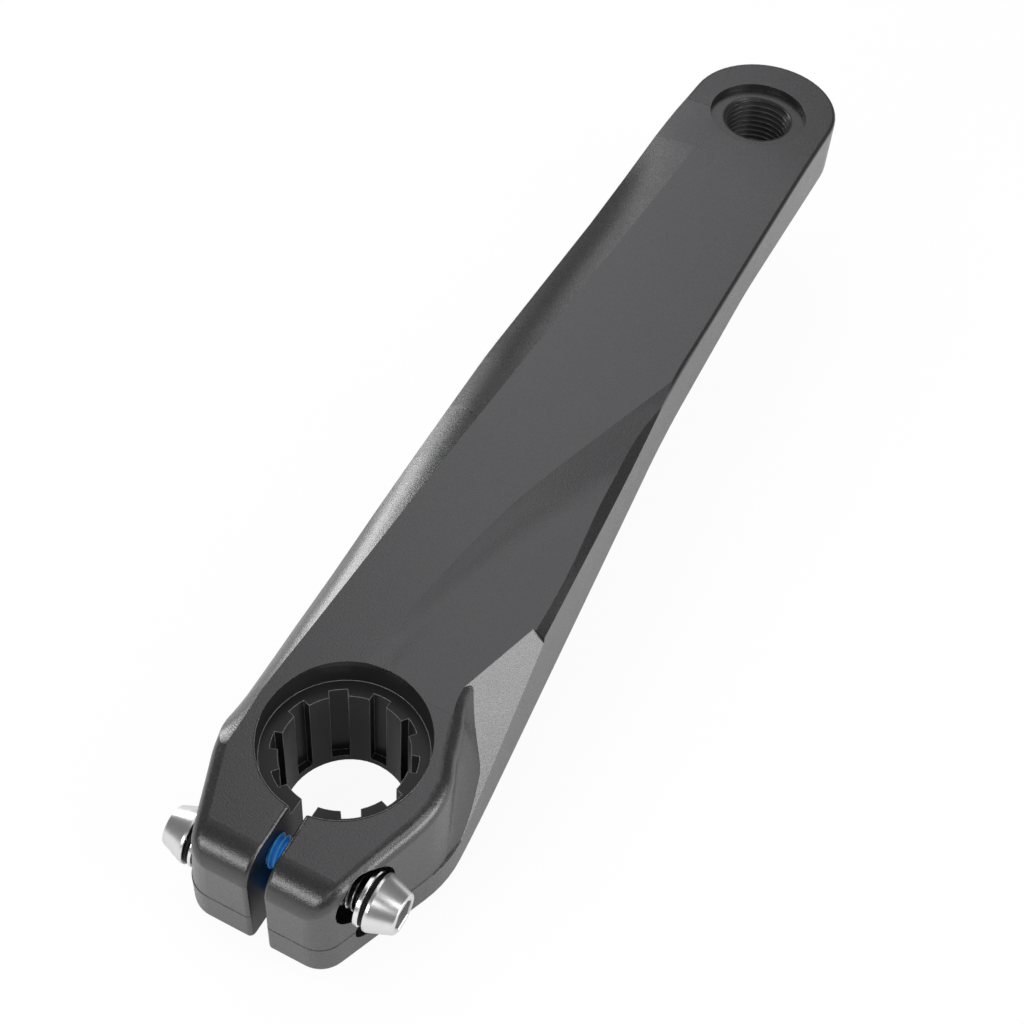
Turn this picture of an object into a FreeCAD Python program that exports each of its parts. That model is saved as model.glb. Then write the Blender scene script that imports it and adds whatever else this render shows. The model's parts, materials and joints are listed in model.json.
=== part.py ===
import FreeCAD, Part
import math
import os

# Left bicycle crank arm for a splined 24 mm spindle, with its two pinch bolts.
# Frame: origin on the spindle axis in the boss's inner face, +Z outward from the bicycle,
# +Y along the arm to the pedal. Millimetres.
V = FreeCAD.Vector

# Arm length and faces
CRANK_LENGTH = 170.0        # spindle axis to pedal axis
BOSS_HEIGHT = 24.15         # inner to outer face at the spindle
PEDAL_FACE_HEIGHT = 34.4    # outer face at the pedal, above the boss's inner face
PEDAL_EYE_THICKNESS = 13.3
FACE_RISE_END = CRANK_LENGTH - 15     # where the outer face turns level
INNER_RISE_START = 9.0      # where the inner face leaves the boss
INNER_RISE_END = CRANK_LENGTH - 39    # where the inner face turns level
INNER_BLEND = 60.0          # radius of the bends along the inner face
FACE_BLEND = 220.0          # radius of the bend along the outer face

# Plan outline, at the parting line
EYE_RADIUS = 15.4
EYE_OFFSET = 2.7            # the eye's round end is centred past the pedal axis
BOSS_RADIUS = 21.2
WAIST_Y = 0.6 * CRANK_LENGTH          # where the right side starts to flare
WAIST_RADIUS = 300.0
LEFT_RADIUS = 20.8          # the boss is flatter on its left side
LEFT_CENTRE = (1.0, -4.5)
SHOULDER_X = 19.6           # furthest reach of the left side
SHOULDER_Y = 0.48 * CRANK_LENGTH
SHOULDER_RADIUS = 150.0
CLAMP_FRONT = 27.2          # spindle axis to the clamp's front face
CORNER_RADIUS = 5.2
LEFT_CORNER_X = 9.6
RIGHT_CORNER_X = 8.5

# Drafted clamp wall above the parting line
WALL_TOP = 27.0             # level of the wall's upper outline, just above the outer face
CLAMP_TOP_RADIUS = 19.6
CLAMP_TOP_CENTRE = (-0.6, -1.7)
CLAMP_TOP_LEFT_RADIUS = 19.8
CLAMP_TOP_CORNER_X = 8.4
CLAMP_TOP_CORNER_RADIUS = 4.25
PARTING_HEIGHT = 7.65       # top of the upright band round the clamp's front
FACET_START_Y = 1.0         # the facet runs down to that height here
PARTING_STEP = 0.05         # width of the trimmed line there
NECK_X = 12.2               # the upper outline draws in to here behind the clamp
NECK_RADIUS = 9.0
NECK_GAP = 0.6              # the neck's round stands this far clear of the boss's
FLARE_CENTRE = (12.4, 11.5) # the lower outline bulges out there instead
FLARE_RADIUS = 10.0

# Left bevel of the outer face: points (y, crease's distance left of the middle) and (y, depth at the wall)
BEVEL_START = -12.0
BEVEL_END = CRANK_LENGTH - 3
BEVEL_CREASE = [(BEVEL_START, 17.4), (8.0, 16.0), (60.0, 13.2), (BEVEL_END, 6.2)]
BEVEL_DEPTHS = [(BEVEL_START, 0.3), (1.0, 4.2), (31.0, 4.2), (48.0, 3.4), (130.0, 3.0), (BEVEL_END, 0.05)]

# Step across the outer face, right of the diagonal ridge; lines given by points (y, x)
STEP_DEPTH = 1.1
STEP_START_Y = 12.0
STEP_FULL_Y = 70.0
STEP_TIP_Y = 98.0
RIDGE_LINE = [(STEP_START_Y, -4.2), (34.0, -1.9), (54.0, 2.3), (STEP_FULL_Y, 7.3), (STEP_TIP_Y, 17.0)]
FOOT_LINE = [(STEP_START_Y, -3.0), (28.0, -0.3), (40.0, 3.3), (STEP_FULL_Y, 14.8), (STEP_TIP_Y, 27.0)]

# Right-hand chamfer between the outer face and the side wall; lines as above
EDGE_DROP = 1.2
EDGE_START_Y = 31.0
EDGE_FULL_Y = 45.0
EDGE_FADE_Y = 66.0
EDGE_LINE = [(EDGE_START_Y, 17.6), (EDGE_FULL_Y, 17.3), (58.0, 15.8), (EDGE_FADE_Y, 15.1), (STEP_TIP_Y, 15.3)]
EDGE_WALL_LINE = [(EDGE_START_Y, 18.6), (EDGE_FULL_Y, 18.5), (STEP_TIP_Y, 15.7)]

# Sloping facet beside the clamp: its upper corners on the outer face and its lower tip
FACET_CORNERS = [(17.0, 33.0), (12.1, 17.0)]
FACET_TIP = (20.3, 10.1, 12.3)

# Spindle bore
TOOTH_RADIUS = 10.77
GROOVE_RADIUS = 12.14
GROOVE_WIDTH = 3.15
SPLINE_PITCH = 36.0
SPLINE_COUNT = 9            # one place of ten stays blank
FIRST_SPLINE = -1.5         # pitches from the +X axis
GROOVE_START = 1.6          # a smooth ring is left at the inner face
SPLINE_HEIGHT = 20.15       # inner face to the ledge
LEDGE_RADIUS = 13.95
RIM_RADIUS = 14.31
SLIT_WIDTH = 3.0
SLIT_ROUND = 0.8

# Pedal hole
PEDAL_THREAD_RADIUS = 7.144
PEDAL_SEAT_RADIUS = 10.12
PEDAL_SEAT_DEPTH = 1.4
PEDAL_BACK_CHAMFER = 0.8

# Pinch bolts, set in from opposite sides and not yet tight
BOLT_Y = -18.7
UPPER_BOLT_Z = 16.6
LOWER_BOLT_Z = 7.1
BOLT_RADIUS = 3.0
BOLT_CLEARANCE = 0.15
DRILL_RADIUS = 2.5          # the threaded hole is drilled through
THREAD_END_X = 10.0         # and threaded this far
HEAD_SEAT_X = BOSS_RADIUS - 4.35      # wide end of the head, from the slit's middle
HEAD_RADIUS = 4.95
HEAD_TIP_RADIUS = 3.45
HEAD_LENGTH = 4.75
HEAD_RIM = 0.6              # straight band round the wide end
HEAD_ROUND = 0.4
SHANK_LENGTH = 22.0
SOCKET_ACROSS_FLATS = 4.6
SOCKET_DEPTH = 3.0
COUNTERBORE_RADIUS = 5.6
COUNTERBORE_FLOOR_X = BOSS_RADIUS - 10.7
RING_THICKNESS = 0.85       # rubber ring between head and washer
RING_RADIUS = 4.55
WASHER_THICKNESS = 0.95
WASHER_RADIUS = 4.75
EDGE_BREAK = 0.2            # chamfer on washers and rings
BOLT_POINT = 0.5            # chamfer at the end of the shank

# Rounded edges
BOTTOM_ROUND = 1.5
FRONT_ROUND = 6.0
TOP_ROUND = 0.8
CLAMP_EDGE_ROUND = 2.5
ROLL_OVERLAP = 0.03         # the front roll meets the front face this far short of tangent
BACK_RADIUS = 6.0           # corners of the clamp's shape inside the arm
CLAMP_BACK = 45.0
RIGHT_SIDE = 9              # edges of the clamp's outline before its right side
SIDE_POINTS = 5             # along each edge of the right side

PEDAL_Y = CRANK_LENGTH
EYE_Y = PEDAL_Y + EYE_OFFSET
REACH = 60.0                # tools run this far past the part


def face_height(y):
    """Height of the outer face's plane at y, before its bend."""
    rise = (PEDAL_FACE_HEIGHT - BOSS_HEIGHT) / FACE_RISE_END
    return min(BOSS_HEIGHT + rise * y, PEDAL_FACE_HEIGHT)


def belt(circles):
    """Closed outline round circles (x, y, radius), counter-clockwise; a negative radius bends inward."""
    tangents = []
    for (x1, y1, r1), (x2, y2, r2) in zip(circles, circles[1:] + circles[:1]):
        length = math.hypot(x2 - x1, y2 - y1)
        along = math.atan2(y2 - y1, x2 - x1)
        normal = along - math.acos((r1 - r2) / length)
        out = V(math.cos(normal), math.sin(normal), 0)
        tangents.append((V(x1, y1, 0) + out * r1, V(x2, y2, 0) + out * r2, out))
    edges = []
    for (x, y, r), before, after in zip(circles, tangents[-1:] + tangents[:-1], tangents):
        middle = before[2] + after[2]
        middle.normalize()
        if before[1].distanceToPoint(after[0]) > 1e-6:
            edges.append(Part.Arc(before[1], V(x, y, 0) + middle * r, after[0]).toShape())
        edges.append(Part.LineSegment(after[0], after[1]).toShape())
    return Part.Wire(edges)


def rounded_path(points):
    """Closed outline in the YZ plane; each point is (y, z, corner radius)."""
    edges = []
    ends = []
    count = len(points)
    for i in range(count):
        y0, z0, _ = points[i - 1]
        y1, z1, radius = points[i]
        y2, z2, _ = points[(i + 1) % count]
        corner = V(0, y1, z1)
        back = (V(0, y0, z0) - corner).normalize()
        ahead = (V(0, y2, z2) - corner).normalize()
        half = back.getAngle(ahead) / 2
        if radius == 0:
            ends.append((corner, None, corner))
            continue
        cut = radius / math.tan(half)
        bisector = (back + ahead).normalize()
        middle = corner + bisector * (radius / math.sin(half) - radius)
        ends.append((corner + back * cut, middle, corner + ahead * cut))
    for i, (start, middle, end) in enumerate(ends):
        if middle is not None:
            edges.append(Part.Arc(start, middle, end).toShape())
        edges.append(Part.LineSegment(end, ends[(i + 1) % count][0]).toShape())
    return Part.Wire(edges)


def plan_circles():
    """The arm's outline at the parting line, counter-clockwise from the pedal eye."""
    front = CORNER_RADIUS - CLAMP_FRONT
    return [
        (0.1, EYE_Y, EYE_RADIUS),
        (SHOULDER_RADIUS - SHOULDER_X, SHOULDER_Y, SHOULDER_RADIUS),
        (*LEFT_CENTRE, LEFT_RADIUS),
        (-LEFT_CORNER_X, front, CORNER_RADIUS),
        (RIGHT_CORNER_X, front, CORNER_RADIUS),
        (0, 0, BOSS_RADIUS),
        (EYE_RADIUS + 0.1 + WAIST_RADIUS, WAIST_Y, -WAIST_RADIUS),
    ]


def side_slab(front, inner_points):
    """Everything between the outer face, rolled down to the front, and an inner outline."""
    slope = (PEDAL_FACE_HEIGHT - BOSS_HEIGHT) / FACE_RISE_END
    profile = rounded_path(inner_points + [
        (EYE_Y + REACH, PEDAL_FACE_HEIGHT, 0),
        (FACE_RISE_END, PEDAL_FACE_HEIGHT, FACE_BLEND),
        (-front, BOSS_HEIGHT - slope * front, FRONT_ROUND),
    ])
    profile.translate(V(-REACH, 0, 0))
    return Part.Face(profile).extrude(V(2 * REACH, 0, 0))


def arm_blank():
    """The forging's plan outline cut by its side profile."""
    prism = Part.Face(belt(plan_circles())).extrude(V(0, 0, REACH))
    eye_back = PEDAL_FACE_HEIGHT - PEDAL_EYE_THICKNESS
    front = CLAMP_FRONT + ROLL_OVERLAP
    return prism.common(side_slab(front, [
        (-front, 0, 0),
        (INNER_RISE_START, 0, INNER_BLEND),
        (INNER_RISE_END, eye_back, INNER_BLEND),
        (EYE_Y + REACH, eye_back, 0),
    ]))


def stations(start, end, count):
    """Evenly spaced values from start to end."""
    return [start + (end - start) * i / (count - 1) for i in range(count)]


def lofted_tool(profile, places, ruled=False):
    """Solid lofted through profile(y), a closed outline at each place y."""
    return Part.makeLoft([profile(y) for y in places], True, ruled)


def profile_above(y, curve_points):
    """Closed outline at y: a smooth curve through (x, z) points and everything above it."""
    points = [V(x, y, z) for x, z in curve_points]
    curve = Part.BSplineCurve()
    curve.interpolate(points)
    first, last = points[0], points[-1]
    top_last = V(last.x, y, REACH)
    top_first = V(first.x, y, REACH)
    edges = [
        curve.toShape(),
        Part.LineSegment(last, top_last).toShape(),
        Part.LineSegment(top_last, top_first).toShape(),
        Part.LineSegment(top_first, first).toShape(),
    ]
    return Part.Wire(edges)


def blend(y, points):
    """Value at y on the broken line through (y, value) points."""
    if y <= points[0][0]:
        return points[0][1]
    for (y0, v0), (y1, v1) in zip(points, points[1:]):
        if y <= y1:
            return v0 + (v1 - v0) * (y - y0) / (y1 - y0)
    return points[-1][1]


def bevel_profile(y):
    """Everything above the left bevel at y: a rounded fall from the crease to the side wall."""
    crease = -blend(y, BEVEL_CREASE)
    depth = blend(y, BEVEL_DEPTHS)
    wall = -blend(y, [(SHOULDER_Y, SHOULDER_X), (BEVEL_END, EYE_RADIUS)])
    width = crease - wall
    top = face_height(y)

    def fall(part):
        return top - depth * (0.45 * part + 0.55 * part * part)

    return profile_above(y, [
        (crease + 4, top + 0.8),
        (crease, top),
        (crease - width / 2, fall(0.5)),
        (wall, fall(1)),
        (wall - 3, fall(1 + 3 / width)),
    ])


def left_bevel():
    return lofted_tool(bevel_profile, stations(BEVEL_START, BEVEL_END, 14), True)


def step_depth(y):
    return blend(y, [(STEP_START_Y, STEP_DEPTH / 20), (STEP_FULL_Y, STEP_DEPTH)])


def step_profile(y):
    """Everything above the step at y: level, a soft fall at the ridge, then level again."""
    ridge = blend(y, RIDGE_LINE)
    foot = blend(y, FOOT_LINE)
    depth = step_depth(y)
    top = face_height(y)
    return profile_above(y, [
        (ridge - 1.5, top + 0.25),
        (ridge, top - 0.05 * depth),
        ((ridge + foot) / 2, top - 0.5 * depth),
        (foot, top - 0.95 * depth),
    ] + [(foot + run, top - depth) for run in (3, 6, 12, 22, 40)])


def face_step():
    return lofted_tool(step_profile, stations(STEP_START_Y, STEP_TIP_Y, 7))


def edge_profile(y):
    """Everything above the right-hand chamfer at y."""
    crease = blend(y, EDGE_LINE)
    wall = blend(y, EDGE_WALL_LINE)
    top = face_height(y) - step_depth(y) * blend(y, [(STEP_FULL_Y, 1), (STEP_TIP_Y, 0)])
    full = [(EDGE_FULL_Y, EDGE_DROP), (EDGE_FADE_Y, EDGE_DROP)]
    drop = blend(y, [(EDGE_START_Y, EDGE_DROP / 2.4)] + full + [(STEP_TIP_Y, EDGE_DROP / 12)])
    fall = drop / (wall - crease)
    corners = [
        V(crease - 3, y, top + 3 * fall),
        V(wall + 3, y, top - (wall + 3 - crease) * fall),
        V(wall + 3, y, REACH),
        V(crease - 3, y, REACH),
    ]
    return Part.makePolygon(corners + corners[:1])


def right_chamfer():
    return lofted_tool(edge_profile, [EDGE_START_Y, 40, 50, EDGE_FADE_Y, 80, STEP_TIP_Y])


def clamp_outline(left, right, centre, corner_x, corner, neck):
    """The clamp's outline at one level, and on to the arm's middle, counter-clockwise."""
    front = PARTING_STEP - CLAMP_FRONT + corner
    return belt([
        (NECK_X - BACK_RADIUS, CLAMP_BACK, BACK_RADIUS),
        (-SHOULDER_X - BACK_RADIUS, CLAMP_BACK, BACK_RADIUS),
        (*LEFT_CENTRE, left),
        (-corner_x, front, corner),
        (RIGHT_CORNER_X, front, corner),
        (*centre, right),
        neck,
    ]).OrderedEdges


def smooth_walls(lower, upper):
    """Two outlines, each with its right side drawn as one smooth curve."""
    count = len(lower) - RIGHT_SIDE
    sides = [[], []]
    for side, outline in zip(sides, (lower, upper)):
        for edge in outline[-count:]:
            side.extend(edge.discretize(SIDE_POINTS)[:-1])
        side.append(outline[0].valueAt(outline[0].FirstParameter))
    steps = [sum(side[i].distanceToPoint(side[i + 1]) for side in sides) for i in range(len(sides[0]) - 1)]
    places = [sum(steps[:i]) for i in range(len(steps) + 1)]
    wires = []
    for side, outline, level in zip(sides, (lower, upper), (PARTING_HEIGHT - 1, WALL_TOP)):
        curve = Part.BSplineCurve()
        curve.interpolate(Points=side, Parameters=places)
        wire = Part.Wire(outline[:-count] + [curve.toShape()])
        wire.translate(V(0, 0, level))
        wires.append(wire)
    return wires


def clamp_body():
    """The drafted clamp with its rounded outer edge."""
    low = PARTING_HEIGHT - 1
    front = CLAMP_FRONT - PARTING_STEP + ROLL_OVERLAP
    top_x, top_y = CLAMP_TOP_CENTRE
    neck_x = NECK_X + NECK_RADIUS
    neck_y = top_y + math.sqrt((CLAMP_TOP_RADIUS + NECK_RADIUS) ** 2 - (neck_x - top_x) ** 2) + NECK_GAP
    lower = clamp_outline(LEFT_RADIUS - PARTING_STEP, BOSS_RADIUS - PARTING_STEP, (0, 0), LEFT_CORNER_X,
                          CORNER_RADIUS - PARTING_STEP, (*FLARE_CENTRE, FLARE_RADIUS))
    upper = clamp_outline(CLAMP_TOP_LEFT_RADIUS, CLAMP_TOP_RADIUS, CLAMP_TOP_CENTRE, CLAMP_TOP_CORNER_X,
                          CLAMP_TOP_CORNER_RADIUS, (neck_x, neck_y, -NECK_RADIUS))
    walls = Part.makeLoft(smooth_walls(lower, upper), True, True)
    body = walls.common(side_slab(front, [(-front, low, 0), (EYE_Y + REACH, low, 0)]))
    outer_edge = nearest_edge(body, CLAMP_TOP_RADIUS, 0, BOSS_HEIGHT)
    return body.makeFillet(CLAMP_EDGE_ROUND, [outer_edge])


def above_plane(a, b, c):
    """Block standing on the plane through three points, counter-clockwise seen from above."""
    normal = (b - a).cross(c - a).normalize()
    centre = (a + b + c) / 3
    block = Part.makeBox(2 * REACH, 2 * REACH, REACH, V(-REACH, -REACH, 0))
    block.Placement = FreeCAD.Placement(centre, FreeCAD.Rotation(V(0, 0, 1), normal))
    return block


def facet_block():
    """Everything above the sloping facet beside the clamp."""
    upper = [V(x, y, face_height(y) - step_depth(y)) for x, y in FACET_CORNERS]
    return above_plane(*upper, V(*FACET_TIP))


def rim_edges(shape, outline, upper):
    """Edges along the plan outline, round the outer face if upper, else round the inner face."""
    chosen = []
    for edge in shape.Edges:
        middle = edge.valueAt((edge.FirstParameter + edge.LastParameter) / 2)
        box = edge.BoundBox
        upright = box.XLength < 0.01 and box.YLength < 0.01
        beside = outline.distToShape(Part.Vertex(middle.x, middle.y, 0))[0] < 0.001
        above = middle.z > face_height(middle.y) - PEDAL_EYE_THICKNESS / 2
        if beside and not upright and above == upper:
            chosen.append(edge)
    return chosen


def nearest_edge(shape, x, y, z):
    point = Part.Vertex(x, y, z)
    return min(shape.Edges, key=lambda edge: edge.distToShape(point)[0])


def slit():
    return Part.makeBox(SLIT_WIDTH, CLAMP_FRONT + 5, REACH, V(-SLIT_WIDTH / 2, -CLAMP_FRONT - 5, -1))


def slit_open(shape, edge_y, edge_z):
    """Saw the slit and round its two lips, each found by a point on its edge."""
    shape = shape.cut(slit())
    for side in (1, -1):
        lip = nearest_edge(shape, side * SLIT_WIDTH / 2, edge_y, edge_z)
        shape = shape.makeFillet(SLIT_ROUND, [lip])
    return shape


def forging():
    """The arm before its holes: the blank, with the drafted clamp trimmed out of its upper part."""
    outline = belt(plan_circles())
    arm = arm_blank()
    arm = arm.makeFillet(BOTTOM_ROUND, rim_edges(arm, outline, False))
    arm = arm.makeFillet(TOP_ROUND, rim_edges(arm, outline, True))
    arm = slit_open(arm, -CLAMP_FRONT, PARTING_HEIGHT)
    clamp = slit_open(clamp_body(), BOLT_Y, face_height(BOLT_Y))
    front = Part.makeBox(2 * REACH, REACH + FACET_START_Y, REACH, V(-REACH, -REACH, PARTING_HEIGHT))
    beside = REACH + CLAMP_BACK - 2 * BACK_RADIUS
    right = Part.makeBox(REACH, beside, REACH, V(0, -REACH, PARTING_HEIGHT))
    for space in (front, facet_block().common(right)):
        arm = arm.cut(space.cut(clamp))
    for tool in (left_bevel(), face_step(), right_chamfer()):
        arm = arm.cut(tool)
    return arm


def disc(radius, height, z=0, x=0, y=0, wide=None):
    """Upright cylinder, or a cone that ends wide."""
    base = V(x, y, z)
    if wide is None:
        return Part.makeCylinder(radius, height, base)
    return Part.makeCone(radius, wide, height, base)


def spindle_bore():
    """Splined hole, and the ledge and counterbore above it."""
    depth = SPLINE_HEIGHT + 1
    tools = [disc(TOOTH_RADIUS, depth + 1, -1)]
    for k in range(SPLINE_COUNT):
        groove = Part.makeBox(REACH, GROOVE_WIDTH, REACH, V(0, -GROOVE_WIDTH / 2, GROOVE_START))
        groove.rotate(V(0, 0, 0), V(0, 0, 1), SPLINE_PITCH * (FIRST_SPLINE + k))
        tools.append(groove.common(disc(GROOVE_RADIUS, depth - GROOVE_START, GROOVE_START)))
    wall_height = BOSS_HEIGHT - SPLINE_HEIGHT
    flare = (RIM_RADIUS - LEDGE_RADIUS) / wall_height
    seat = disc(LEDGE_RADIUS, 2 * wall_height, SPLINE_HEIGHT, wide=LEDGE_RADIUS + 2 * flare * wall_height)
    return tools + [seat]


def pedal_hole():
    """Hole for the pedal's thread, with the seat of its flange and a chamfer at the back."""
    back = PEDAL_FACE_HEIGHT - PEDAL_EYE_THICKNESS
    thread = disc(PEDAL_THREAD_RADIUS, REACH, 0, y=PEDAL_Y)
    seat = disc(PEDAL_SEAT_RADIUS, REACH, PEDAL_FACE_HEIGHT - PEDAL_SEAT_DEPTH, y=PEDAL_Y)
    chamfer = disc(PEDAL_THREAD_RADIUS + PEDAL_BACK_CHAMFER + 1, PEDAL_BACK_CHAMFER + 1, back - 1,
                   y=PEDAL_Y, wide=PEDAL_THREAD_RADIUS)
    return [thread, seat, chamfer]


def rod(side, z, radius, start, end):
    """Round bar on a pinch bolt's axis between two distances from the slit's middle."""
    return Part.makeCylinder(radius, end - start, V(side * start, BOLT_Y, z), V(side, 0, 0))


def bolt_holes(side, z):
    """Counterbore and clearance hole on the head's side, threaded hole on the other side."""
    return [
        rod(side, z, COUNTERBORE_RADIUS, COUNTERBORE_FLOOR_X, REACH),
        rod(side, z, BOLT_RADIUS + BOLT_CLEARANCE, 0, COUNTERBORE_FLOOR_X + 1),
        rod(-side, z, BOLT_RADIUS, 0, THREAD_END_X),
        rod(-side, z, DRILL_RADIUS, 0, REACH),
    ]


def pinch_bolt(side, z):
    """Screw with a tapered round head and a hexagon socket."""
    tip_x = HEAD_SEAT_X + HEAD_LENGTH
    profile = Part.makePolygon([
        V(HEAD_SEAT_X, 0, 0),
        V(HEAD_SEAT_X, HEAD_RADIUS, 0),
        V(HEAD_SEAT_X + HEAD_RIM, HEAD_RADIUS, 0),
        V(tip_x, HEAD_TIP_RADIUS, 0),
        V(tip_x, 0, 0),
        V(HEAD_SEAT_X, 0, 0),
    ])
    head = Part.Face(profile).revolve(V(0, 0, 0), V(1, 0, 0), 360)
    circles = [edge for edge in head.Edges if edge.Closed and edge.BoundBox.XLength < 0.01]
    head = head.makeFillet(HEAD_ROUND, circles)
    corner = SOCKET_ACROSS_FLATS / math.sqrt(3)
    turns = [math.radians(60 * k) for k in range(7)]
    hexagon = Part.makePolygon([V(tip_x, corner * math.cos(t), corner * math.sin(t)) for t in turns])
    socket = Part.Face(hexagon).extrude(V(-SOCKET_DEPTH, 0, 0))
    end = HEAD_SEAT_X - SHANK_LENGTH
    shank = Part.makeCylinder(BOLT_RADIUS, SHANK_LENGTH, V(end, 0, 0), V(1, 0, 0))
    point = [edge for edge in shank.Edges if edge.Closed and edge.BoundBox.XMax < end + 0.01]
    shank = shank.makeChamfer(BOLT_POINT, point)
    bolt = head.cut(socket).fuse(shank).removeSplitter()
    if side < 0:
        bolt.rotate(V(0, 0, 0), V(0, 0, 1), 180)
    bolt.translate(V(0, BOLT_Y, z))
    return bolt


def washer(side, z):
    """Flat washer hanging on the shank."""
    outer_x = HEAD_SEAT_X - RING_THICKNESS
    low = z - BOLT_CLEARANCE
    ring = rod(side, low, WASHER_RADIUS, outer_x - WASHER_THICKNESS, outer_x)
    ring = ring.makeChamfer(EDGE_BREAK, [edge for edge in ring.Edges if edge.Closed])
    return ring.cut(rod(side, low, BOLT_RADIUS + BOLT_CLEARANCE, 0, REACH))


def rubber_ring(side, z):
    inner_x = HEAD_SEAT_X - RING_THICKNESS
    ring = rod(side, z, RING_RADIUS, inner_x, HEAD_SEAT_X)
    ring = ring.makeChamfer(EDGE_BREAK, [edge for edge in ring.Edges if edge.Closed])
    return ring.cut(rod(side, z, BOLT_RADIUS, 0, REACH))


def crank_arm():
    arm = forging()
    tools = spindle_bore() + pedal_hole() + bolt_holes(1, UPPER_BOLT_Z) + bolt_holes(-1, LOWER_BOLT_Z)
    for tool in tools:
        arm = arm.cut(tool)
    return arm


def nodes():
    """Every piece by name."""
    pieces = {"crank_arm": crank_arm()}
    for name, side, z in (("upper", 1, UPPER_BOLT_Z), ("lower", -1, LOWER_BOLT_Z)):
        pieces[name + "_pinch_bolt"] = pinch_bolt(side, z)
        pieces[name + "_washer"] = washer(side, z)
        pieces[name + "_rubber_ring"] = rubber_ring(side, z)
    return pieces


if __name__ == "__main__":
    os.makedirs("parts", exist_ok=True)
    for name, shape in nodes().items():
        shape.exportStep(os.path.join("parts", name + ".step"))
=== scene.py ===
import json
import math

import bpy
from mathutils import Matrix, Vector


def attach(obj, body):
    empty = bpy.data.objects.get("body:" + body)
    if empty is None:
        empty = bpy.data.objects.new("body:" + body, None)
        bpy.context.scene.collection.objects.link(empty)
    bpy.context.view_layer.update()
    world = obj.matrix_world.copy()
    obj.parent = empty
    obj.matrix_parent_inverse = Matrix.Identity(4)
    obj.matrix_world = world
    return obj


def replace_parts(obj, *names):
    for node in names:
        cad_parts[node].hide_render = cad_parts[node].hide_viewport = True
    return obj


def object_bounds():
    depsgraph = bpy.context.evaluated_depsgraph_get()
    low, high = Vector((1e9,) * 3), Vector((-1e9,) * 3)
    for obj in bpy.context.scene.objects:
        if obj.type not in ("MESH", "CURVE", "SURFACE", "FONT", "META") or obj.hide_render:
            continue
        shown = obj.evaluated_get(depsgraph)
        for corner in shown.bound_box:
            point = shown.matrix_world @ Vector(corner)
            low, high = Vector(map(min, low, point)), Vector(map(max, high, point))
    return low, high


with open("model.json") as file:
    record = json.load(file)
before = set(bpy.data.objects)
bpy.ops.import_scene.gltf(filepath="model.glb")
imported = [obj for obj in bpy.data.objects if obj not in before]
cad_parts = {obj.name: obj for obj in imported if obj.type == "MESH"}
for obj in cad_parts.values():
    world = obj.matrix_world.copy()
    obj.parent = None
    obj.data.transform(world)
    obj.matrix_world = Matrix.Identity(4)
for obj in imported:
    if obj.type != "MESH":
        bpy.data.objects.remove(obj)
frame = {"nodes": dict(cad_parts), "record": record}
cad_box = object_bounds()

MM = 0.001

# Pedal thread, a left-hand one in the pedal hole
pedal_mount = next(mount for mount in frame["record"]["mounts"] if mount["name"] == "pedal_hole")
PEDAL_Y = pedal_mount["pos_m"][1]
THREAD_ROOT = pedal_mount["dims"]["r_mm"] * MM
THREAD_LENGTH = pedal_mount["dims"]["length_mm"] * MM
THREAD_START = pedal_mount["pos_m"][2] - THREAD_LENGTH / 2
THREAD_CREST = 6.5 * MM
THREAD_PITCH = 1.27 * MM
THREAD_GAP = 0.02 * MM      # between the sleeve's ends and the hole's ends
THREAD_SUNK = 0.05 * MM     # how far the sleeve's back stands in the wall
THREAD_SIDES = 96

# Pinch bolts; places along a bolt are measured outward from the slit's middle
BOLT_Y = -18.7 * MM
BOLTS = {"upper": (16.6 * MM, 0.0), "lower": (7.1 * MM, math.pi)}     # height and turn about the upright
SHANK_END = -5.15 * MM
SHANK_RADIUS = 3.0 * MM
SHANK_CORE = 2.42 * MM
BOLT_PITCH = 1.0 * MM
BOLT_POINT = 0.5 * MM
BOLT_SIDES = 72
THREAD_STOP = 14.9 * MM
HEAD_SEAT = 16.85 * MM
HEAD_RIM = 0.6 * MM
HEAD_TIP = HEAD_SEAT + 4.75 * MM
HEAD_RADIUS = 4.95 * MM
TIP_RADIUS = 3.45 * MM
HEAD_ROUND = 0.4 * MM
SOCKET_FLAT = 2.3 * MM      # half the width across flats
SOCKET_DEPTH = 3.0 * MM
SOCKET_EDGE = 0.15 * MM
SOCKET_CONE = 0.6 * MM      # depth of the drill point under the hexagon
LOCKED_REACH = 2.6 * MM     # thread-locker covers the thread this far each side of the slit
LOCKED_RAGGED = 2.0 * MM    # how far its border wanders

# Shape of a thread's ridge, as parts of one pitch
TURN_STEPS = 14
FLANK_SLOPE = 2.7
ROOT_FLAT = 0.2

# Bored places of the arm
BOSS_HEIGHT = 24.15 * MM
BORE_REACH = 14.5 * MM
SEAT_HEIGHT = 33.2 * MM
SLIT_REACH = 1.55 * MM
COUNTERBORE_REACH = 5.7 * MM
COUNTERBORE_START = 9.0 * MM

# Marks on the surfaces: their size across, and the depth of the ones that can be felt
ARM_GRAIN, ARM_GRAIN_DEPTH = 0.26 * MM, 0.03 * MM
ARM_BLOTS = 6.0 * MM
ARM_EDGE = 0.16 * MM
BOLT_BLOTS = 1.5 * MM
TURNING_LINES, TURNING_DEPTH = 6000.0, 0.003 * MM       # lines to the metre
WASHER_BLOTS = 0.9 * MM
WASHER_MARKS, WASHER_DEPTH = 0.18 * MM, 0.012 * MM
RUBBER_BLOTS, RUBBER_DEPTH = 0.8 * MM, 0.03 * MM
THREAD_MARKS, THREAD_MARK_DEPTH = 0.3 * MM, 0.01 * MM

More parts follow.
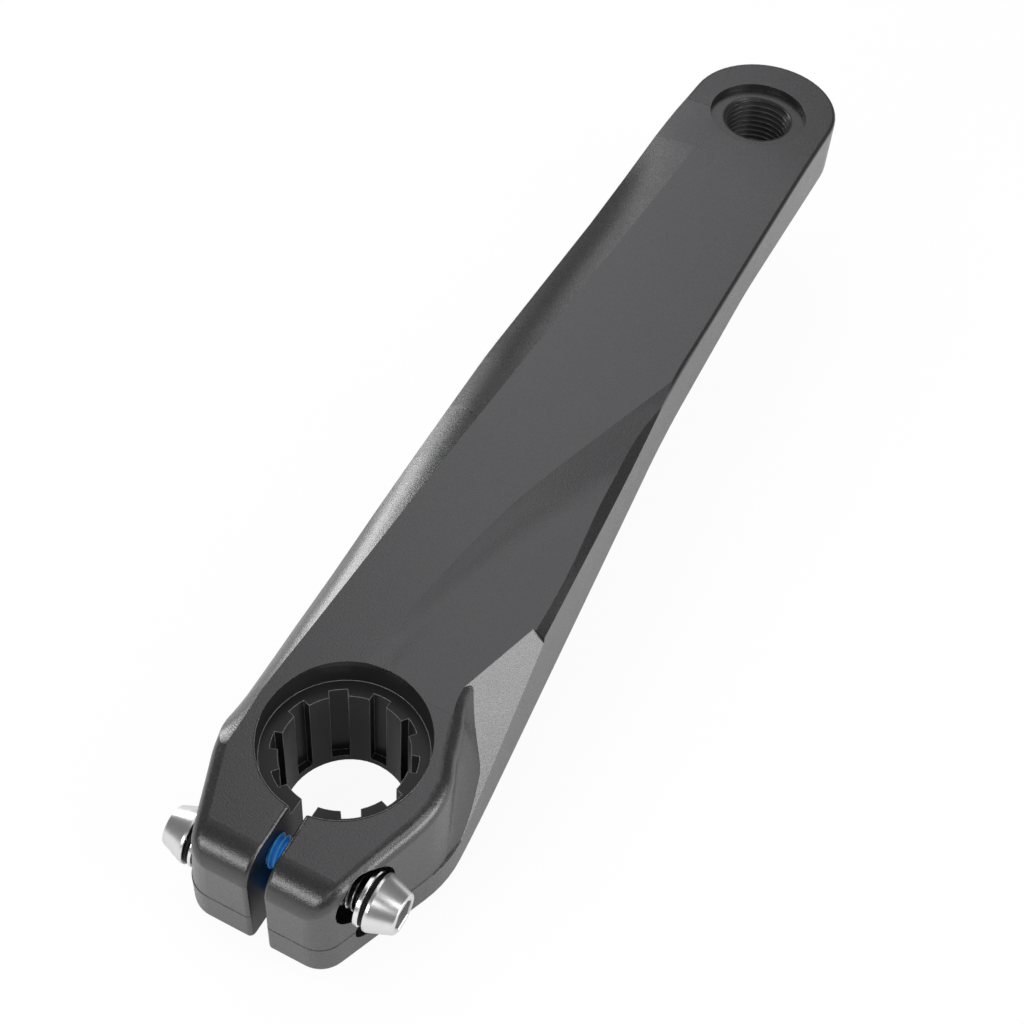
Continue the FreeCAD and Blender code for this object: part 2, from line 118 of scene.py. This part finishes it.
# Camera, worked out from the photo
CAMERA_PLACE = Vector((81.492, -126.765, 264.93)) * MM
CAMERA_RIGHT = Vector((0.88598483, 0.46058155, 0.0538099))
CAMERA_UP = Vector((-0.38670558, 0.66981923, 0.63387774))
CAMERA_AHEAD = Vector((-0.25590949, 0.58241465, -0.77155914))
LENS = 61.81

# Floor and world
FLOOR_REACH = 3.0
FLOOR_DROP = 4.0 * MM       # below the arm's lowest point
FLOOR_WHITE = 0.94
FLOOR_TO_CAMERA = 0.93      # share of plain white; the rest takes the shadow
FLOOR_TO_GLOSS = 0.24
WORLD_TO_CAMERA, WORLD_TO_GLOSS, WORLD_PLAIN = 1.0, 0.20, 0.35


class Socket:
    """A shader value that Python's arithmetic works on."""

    def __init__(self, tree, socket):
        self.tree = tree
        self.socket = socket

    def math(self, operation, other=None, swap=False):
        node = self.tree.nodes.new("ShaderNodeMath")
        node.operation = operation
        inputs = [self] if other is None else [self, other]
        if swap:
            inputs.reverse()
        for slot, value in zip(node.inputs, inputs):
            feed(self.tree, slot, value)
        return Socket(self.tree, node.outputs[0])

    def __add__(self, other):
        return self.math("ADD", other)

    def __radd__(self, other):
        return self.math("ADD", other, True)

    def __sub__(self, other):
        return self.math("SUBTRACT", other)

    def __rsub__(self, other):
        return self.math("SUBTRACT", other, True)

    def __mul__(self, other):
        return self.math("MULTIPLY", other)

    def __rmul__(self, other):
        return self.math("MULTIPLY", other, True)

    def __pow__(self, other):
        return self.math("POWER", other)

    def __lt__(self, other):
        return self.math("LESS_THAN", other)

    def __gt__(self, other):
        return self.math("GREATER_THAN", other)

    def clamp(self):
        node = self.math("ADD", 0.0)
        node.socket.node.use_clamp = True
        return node

    def abs(self):
        return self.math("ABSOLUTE")

    def high(self, other):
        return self.math("MAXIMUM", other)


def feed(tree, slot, value):
    """Link a socket or set a plain value."""
    if isinstance(value, Socket):
        tree.links.new(value.socket, slot)
    else:
        slot.default_value = value


class Finish:
    """A material's node tree."""

    def __init__(self, name):
        self.material = bpy.data.materials.new(name)
        self.material.use_nodes = True
        self.tree = self.material.node_tree
        self.tree.nodes.clear()
        self.out = self.tree.nodes.new("ShaderNodeOutputMaterial")
        self.place = self.node("ShaderNodeTexCoord", {}, {}, "Object")

    def node(self, kind, settings, values, output=0):
        """Any node, with its settings, its inputs and the output to use."""
        node = self.tree.nodes.new(kind)
        for name, value in settings.items():
            setattr(node, name, value)
        for name, value in values.items():
            feed(self.tree, node.inputs[name], value)
        return Socket(self.tree, node.outputs[output])

    def axis(self, letter):
        return self.node("ShaderNodeSeparateXYZ", {}, {0: self.place}, letter)

    def noise(self, size, detail=2.0, rough=0.5):
        """Noise whose blots are about size metres across."""
        values = {"Vector": self.place, "Scale": 1 / size, "Detail": detail, "Roughness": rough}
        return self.node("ShaderNodeTexNoise", {}, values, "Fac")

    def mix(self, part, first, second):
        node = self.tree.nodes.new("ShaderNodeMix")
        node.data_type = "RGBA"
        for slot, value in zip((0, 6, 7), (part, first, second)):
            feed(self.tree, node.inputs[slot], value)
        return Socket(self.tree, node.outputs[2])

    def bump(self, height, depth, strength=1.0, over=None):
        """Bump whose height of 1 stands depth metres out."""
        values = {"Height": height, "Distance": depth, "Strength": strength}
        if over is not None:
            values["Normal"] = over
        return self.node("ShaderNodeBump", {}, values, "Normal")

    def shader(self, **values):
        named = {name.replace("_", " "): value for name, value in values.items()}
        return self.node("ShaderNodeBsdfPrincipled", {}, named, "BSDF")

    def finish(self, shader):
        self.tree.links.new(shader.socket, self.out.inputs["Surface"])
        return self.material

    def surface(self, **values):
        return self.finish(self.shader(**values))


def grey(level):
    return (level, level, level, 1.0)


def bored_places(f):
    """1 in the splined bore, the pedal hole and its seat, the slit and the two counterbores."""
    x, y, z = (f.axis(letter) for letter in "XYZ")
    bore = ((x * x + y * y) ** 0.5 < BORE_REACH) * (z < BOSS_HEIGHT - 0.2 * MM)
    along = y - PEDAL_Y
    seat = ((x * x + along * along) ** 0.5 < THREAD_ROOT + 0.3 * MM) * (z < SEAT_HEIGHT)
    slit = (x.abs() < SLIT_REACH) * (y < 0.0)
    bored = bore.high(seat).high(slit)
    for height, turn in BOLTS.values():
        across = y - BOLT_Y
        rise = z - height
        counterbore = (across * across + rise * rise) ** 0.5 < COUNTERBORE_REACH
        bored = bored.high(counterbore * (x * math.cos(turn) > COUNTERBORE_START))
    return bored


def arm_finish():
    """Black anodising over a blasted surface; the bored places are machined smooth, with a weaker reflection
    as painted shade for these hollows and a painted highlight along their sharp edges.
    """
    f = Finish("black anodising")
    grain = f.noise(ARM_GRAIN, 2.0, 0.6)
    blots = f.noise(ARM_BLOTS, 3.0, 0.55)
    tone = f.mix(blots, (0.010, 0.010, 0.0105, 1), (0.014, 0.014, 0.0145, 1))
    fleck = ((grain - 0.5) * 3.0 + 0.2).clamp()
    tone = f.mix(fleck, tone, (0.024, 0.024, 0.025, 1))
    roughness = 0.29 + (blots - 0.5) * 0.06 + (grain - 0.5) * 0.16

    # Sharp edges are rounded over; faces that meet at a small angle stay as they are. In the bored places the
    # rounded edges also get a painted highlight.
    rounded_over = f.node("ShaderNodeBevel", {"samples": 4}, {"Radius": ARM_EDGE}, "Normal")
    smooth = f.node("ShaderNodeNewGeometry", {}, {}, "Normal")
    facing = {0: rounded_over, 1: smooth}
    bend = 1 - f.node("ShaderNodeVectorMath", {"operation": "DOT_PRODUCT"}, facing, "Value")
    painted_edge_highlight = (bend * 6.0).clamp()
    edge = f.mix(((bend - 0.03) * 30.0).clamp(), smooth, rounded_over)

    felt = f.bump(grain, ARM_GRAIN_DEPTH, 1.0, edge)
    satin = f.shader(Base_Color=tone, Roughness=roughness, IOR=1.7, Normal=felt)
    # Painted highlight: the sharp edges of the bored places are painted light grey
    cut_tone = f.mix(painted_edge_highlight, f.mix(blots, grey(0.014), grey(0.021)), grey(0.45))
    cut_rough = 0.3 + (grain - 0.5) * 0.1
    # Painted shade: the bored places get a weak reflection so that they read dark
    cut = f.shader(Base_Color=cut_tone, Roughness=cut_rough, Specular_IOR_Level=0.2, Normal=edge)
    return f.finish(f.node("ShaderNodeMixShader", {}, {0: bored_places(f), 1: satin, 2: cut}))


def bolt_finish():
    """Satin turned head; the shank is painted near black as painted shade, with painted highlights on the
    thread crests; blue thread-locker near the slit, lighter on its crests as painted highlight.
    """
    f = Finish("satin bolt steel")
    x, y, z = (f.axis(letter) for letter in "XYZ")
    radius = (y * y + z * z) ** 0.5
    along = {"W": x, "Scale": TURNING_LINES, "Detail": 2.0}
    rings = f.node("ShaderNodeTexNoise", {"noise_dimensions": "1D"}, along, "Fac")
    blots = f.noise(BOLT_BLOTS, 3.0)
    socket = (radius < SOCKET_FLAT * 1.17) * (x > HEAD_TIP - SOCKET_DEPTH - SOCKET_CONE)
    shank = x < HEAD_SEAT - 0.05 * MM
    locked = x.abs() < LOCKED_REACH + (blots - 0.5) * LOCKED_RAGGED
    crest = ((radius - 2.72 * MM) * 4000.0).clamp()
    tone = f.mix(blots, grey(0.66), grey(0.74))
    # Painted shade inside the hexagon socket: darker grey
    tone = f.mix(socket, tone, grey(0.50))
    # Painted shade on the shank, painted highlight on the thread crests
    tone = f.mix(shank, tone, f.mix(crest, grey(0.05), grey(0.75)))
    # Thread-locker blue, lighter on the crests as painted highlight and in random blots
    blue = f.mix((crest * 0.6 + blots * 0.4).clamp(), (0.02, 0.20, 0.70, 1), (0.10, 0.52, 1.0, 1))
    tone = f.mix(locked, tone, blue)
    # The socket is also made less metallic, as part of its painted shade
    metal = (1 - locked) * (1 - socket * 0.3)
    roughness = 0.30 + (rings - 0.5) * 0.10 + (blots - 0.5) * 0.06 + locked * 0.03
    lines = f.bump(rings, TURNING_DEPTH, 0.25)
    return f.surface(Base_Color=tone, Metallic=metal, Roughness=roughness, Normal=lines)


def washer_finish():
    """Bright washer with fine marks."""
    f = Finish("bright washer steel")
    blots = f.noise(WASHER_BLOTS, 3.0)
    marks = f.noise(WASHER_MARKS, 2.0, 0.6)
    tone = f.mix(blots, grey(0.70), grey(0.82))
    roughness = 0.22 + (marks - 0.5) * 0.16
    felt = f.bump(marks, WASHER_DEPTH, 0.6)
    return f.surface(Base_Color=tone, Metallic=1.0, Roughness=roughness, Normal=felt)


def rubber_finish():
    """Matt black rubber."""
    f = Finish("black rubber")
    blots = f.noise(RUBBER_BLOTS, 3.0)
    tone = f.mix(blots, grey(0.003), grey(0.008))
    roughness = 0.5 + (blots - 0.5) * 0.2
    felt = f.bump(blots, RUBBER_DEPTH, 0.3)
    return f.surface(Base_Color=tone, Roughness=roughness, Specular_IOR_Level=0.12, Normal=felt)


def thread_finish():
    """Bare machined thread, dark, with lighter crests."""
    f = Finish("dark cut thread")
    y, z = f.axis("Y"), f.axis("Z")
    radius = (y * y + z * z) ** 0.5
    marks = f.noise(THREAD_MARKS, 2.0)
    crest = ((THREAD_CREST + 0.12 * MM - radius) * 9000.0).clamp()
    tone = f.mix(crest, grey(0.014), grey(0.050))
    roughness = 0.34 + (marks - 0.5) * 0.15
    felt = f.bump(marks, THREAD_MARK_DEPTH, 0.4)
    return f.surface(Base_Color=tone, Roughness=roughness, Normal=felt)


def dress(node, material):
    mesh = frame["nodes"][node].data
    mesh.materials.clear()
    mesh.materials.append(material)


def steady(radius):
    """Ring with the same radius all round."""
    return lambda turn: radius


def hexagon(flat):
    """Ring with six sides, each this far from the middle."""
    sixth = math.pi / 3
    return lambda turn: flat / math.cos((turn * 2 * math.pi) % sixth - sixth / 2)


def thread_ring(place, ends, pitch, root, crest, hand):
    """Ring across a screw thread at this place; the thread runs out over half a pitch at its ends."""
    room = min(place - ends[0], ends[1] - place) / pitch
    depth = (crest - root) * max(0.0, min(1.0, 2 * room))

    def radius(turn):
        phase = (place / pitch - hand * turn) % 1.0
        ridge = max(0.0, min(1.0, FLANK_SLOPE * (0.5 - abs(phase - 0.5)) - ROOT_FLAT))
        return root + depth * ridge
    return radius


def thread_rings(ends, pitch, root, crest, hand):
    length = ends[1] - ends[0]
    count = round(length / pitch * TURN_STEPS)
    places = [ends[0] + length * i / count for i in range(count + 1)]
    return [(place, thread_ring(place, ends, pitch, root, crest, hand)) for place in places]


def rounded(corner, before, after, radius, steps=4):
    """Rings of a small arc that rounds a corner between two neighbours, each point (place, radius)."""
    corner, before, after = Vector(corner), Vector(before), Vector(after)
    back, ahead = (before - corner).normalized(), (after - corner).normalized()
    cut = radius / math.tan(back.angle(ahead) / 2)
    start, end = corner + back * cut, corner + ahead * cut
    rings = []
    for i in range(steps + 1):
        part = i / steps
        bend = start.lerp(corner, part).lerp(corner.lerp(end, part), part)
        rings.append((bend.x, steady(bend.y)))
    return rings


def turned_piece(name, rings, count, closed_ends, material, sharp=35.0):
    """Mesh through rings along the X axis; its ends are capped, or joined to each other."""
    points = []
    for place, radius in rings:
        for j in range(count):
            turn = j / count
            angle = 2 * math.pi * turn
            reach = radius(turn)
            points.append((place, reach * math.cos(angle), reach * math.sin(angle)))
    faces = []
    pairs = list(zip(range(len(rings)), range(1, len(rings))))
    if not closed_ends:
        pairs.append((len(rings) - 1, 0))
    for a, b in pairs:
        for j in range(count):
            k = (j + 1) % count
            faces.append((a * count + j, b * count + j, b * count + k, a * count + k))
    if closed_ends:
        faces.append(tuple(range(count)))
        faces.append(tuple(reversed(range((len(rings) - 1) * count, len(rings) * count))))
        faces = [tuple(reversed(face)) for face in faces]     # so that all of them look outward
    mesh = bpy.data.meshes.new(name)
    mesh.from_pydata(points, [], faces)
    mesh.validate()
    mesh.shade_smooth()
    mesh.set_sharp_from_angle(angle=math.radians(sharp))
    mesh.materials.append(material)
    piece = bpy.data.objects.new(name, mesh)
    bpy.context.scene.collection.objects.link(piece)
    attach(piece, "root")
    return piece


def pinch_bolt(name, height, turn, material):
    """Screw with a rounded taper head, a hexagon socket and a full thread."""
    rim = (HEAD_SEAT + HEAD_RIM, HEAD_RADIUS)
    back, front = (HEAD_SEAT, HEAD_RADIUS), (HEAD_TIP, TIP_RADIUS)
    bottom = HEAD_TIP - SOCKET_DEPTH
    threaded = (SHANK_END + BOLT_POINT, THREAD_STOP)
    rings = [(SHANK_END, steady(SHANK_CORE - 0.1 * MM))]
    rings += thread_rings(threaded, BOLT_PITCH, SHANK_CORE, SHANK_RADIUS, 1)
    rings += [(THREAD_STOP + 0.1 * MM, steady(SHANK_CORE)), (HEAD_SEAT, steady(SHANK_CORE))]
    rings += rounded(back, (HEAD_SEAT, SHANK_RADIUS), rim, HEAD_ROUND / 2)
    rings += rounded(rim, back, front, HEAD_ROUND / 2)
    rings += rounded(front, rim, (HEAD_TIP, 0.0), HEAD_ROUND)
    rings += [
        (HEAD_TIP, hexagon(SOCKET_FLAT + SOCKET_EDGE)),
        (HEAD_TIP - SOCKET_EDGE, hexagon(SOCKET_FLAT)),
        (bottom, hexagon(SOCKET_FLAT)),
        (bottom - 0.1 * MM, steady(SOCKET_FLAT * 0.8)),
        (bottom - SOCKET_CONE, steady(0.2 * MM)),
    ]
    piece = turned_piece(name, rings, BOLT_SIDES, True, material)
    piece.location = (0.0, BOLT_Y, height)
    piece.rotation_euler = (0.0, 0.0, turn)
    return piece


def pedal_thread(material):
    """Thread turns standing in from the pedal hole's wall, as a closed sleeve."""
    ends = (THREAD_GAP, THREAD_LENGTH - THREAD_GAP)
    wall = THREAD_ROOT + THREAD_SUNK
    rings = [(ends[0], steady(wall))]
    rings += thread_rings(ends, THREAD_PITCH, THREAD_ROOT - 0.01 * MM, THREAD_CREST, -1)
    rings += [(ends[1], steady(wall))]
    piece = turned_piece("pedal_thread", rings, THREAD_SIDES, False, material)
    piece.location = (0.0, PEDAL_Y, THREAD_START)
    piece.rotation_euler = (0.0, -math.pi / 2, 0.0)
    return piece


def soft_panel(name, aim, heading, distance, size, glow, tint=(1, 1, 1), seen=True):
    """Soft light of this width and height, seen from the aim point (mm) along a heading.

    Its glow is its brightness, 1 for white; one that isn't seen leaves no reflection.
    """
    data = bpy.data.lights.new(name, "AREA")
    data.shape = "RECTANGLE"
    data.size, data.size_y = size
    data.energy = 4 * glow * size[0] * size[1]
    data.color = tint
    lamp = bpy.data.objects.new(name, data)
    heading = Vector(heading).normalized()
    side = Vector((0, 0, 1)).cross(heading).normalized()
    turn = Matrix((side, heading.cross(side), heading)).transposed()
    place = Vector(aim) * MM + heading * distance
    lamp.matrix_world = Matrix.Translation(place) @ turn.to_4x4()
    lamp.visible_glossy = seen
    bpy.context.scene.collection.objects.link(lamp)


def add_camera():
    data = bpy.data.cameras.new("camera")
    data.lens = LENS
    data.sensor_width = 36
    data.clip_start = 0.01
    camera = bpy.data.objects.new("camera", data)
    turn = Matrix((CAMERA_RIGHT, CAMERA_UP, -CAMERA_AHEAD)).transposed()
    camera.matrix_world = Matrix.Translation(CAMERA_PLACE) @ turn.to_4x4()
    bpy.context.scene.collection.objects.link(camera)
    bpy.context.scene.camera = camera


def add_floor():
    """Large white sheet under the arm; it reads as white and still takes the shadow."""
    reach, level = FLOOR_REACH, cad_box[0][2] - FLOOR_DROP
    corners = [(-reach, -reach, level), (reach, -reach, level), (reach, reach, level), (-reach, reach, level)]
    mesh = bpy.data.meshes.new("floor")
    mesh.from_pydata(corners, [], [(0, 1, 2, 3)])
    floor = bpy.data.objects.new("floor", mesh)
    bpy.context.scene.collection.objects.link(floor)
    f = Finish("white sheet")
    plain = f.node("ShaderNodeBsdfDiffuse", {}, {"Color": grey(FLOOR_WHITE)}, "BSDF")
    white = f.node("ShaderNodeEmission", {}, {"Color": grey(1.0), "Strength": 1.0}, "Emission")
    camera_ray = f.node("ShaderNodeLightPath", {}, {}, "Is Camera Ray")
    glossy_ray = f.node("ShaderNodeLightPath", {}, {}, "Is Glossy Ray")
    share = (camera_ray * FLOOR_TO_CAMERA).high(glossy_ray * FLOOR_TO_GLOSS)
    mesh.materials.append(f.finish(f.node("ShaderNodeMixShader", {}, {0: share, 1: plain, 2: white})))


def light_world():
    """White to the camera, dim to everything else, so that the panels model the dark surfaces."""
    world = bpy.data.worlds.new("studio")
    bpy.context.scene.world = world
    world.use_nodes = True
    tree = world.node_tree
    path = tree.nodes.new("ShaderNodeLightPath")
    back = tree.nodes["Background"]
    camera_ray = Socket(tree, path.outputs["Is Camera Ray"])
    glossy_ray = Socket(tree, path.outputs["Is Glossy Ray"])
    more = camera_ray * (WORLD_TO_CAMERA - WORLD_PLAIN)
    less = glossy_ray * (WORLD_PLAIN - WORLD_TO_GLOSS)
    feed(tree, back.inputs["Strength"], more + WORLD_PLAIN - less)
    back.inputs["Color"].default_value = grey(1.0)


add_camera()
dress("crank_arm", arm_finish())
washer = washer_finish()
rubber = rubber_finish()
bolt = bolt_finish()
for name, (height, turn) in BOLTS.items():
    dress(name + "_washer", washer)
    dress(name + "_rubber_ring", rubber)
    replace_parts(pinch_bolt(name + "_bolt", height, turn, bolt), name + "_pinch_bolt")
pedal_thread(thread_finish())

add_floor()
light_world()
soft_panel("right panel", (18, 10, 18), (0.96, 0.09, 0.24), 0.55, (0.38, 0.22), 5.2)
soft_panel("upper right panel", (18, -8, 20), (0.68, 0.06, 0.72), 0.60, (0.16, 0.26), 3.6)
soft_panel("left panel", (-17, 30, 23), (-0.372, 0.190, 0.082), 0.43, (0.11, 0.20), 7.0)
soft_panel("left far panel", (-12, 86, 29), (-0.50, 0.64, 0.58), 0.45, (0.09, 0.09), 2.0)
soft_panel("front panel", (0, -25, 18), (-0.32, -0.83, 0.48), 0.50, (0.30, 0.14), 5.2)
soft_panel(
    "back sky panel", (0, 85, 27), (-0.228, 0.465, 0.8715), 1.014, (0.50, 1.15), 0.92,
    tint=(1.0, 0.99, 1.03),
)
soft_panel("camera side panel", (18, -18, 16), (0.34, -0.52, 0.78), 0.60, (0.14, 0.18), 2.4)
soft_panel("overhead fill", (0, 85, 20), (-0.6, -0.35, 0.75), 1.0, (0.90, 0.90), 0.9, seen=False)

bpy.context.scene.view_settings.view_transform = "Standard"
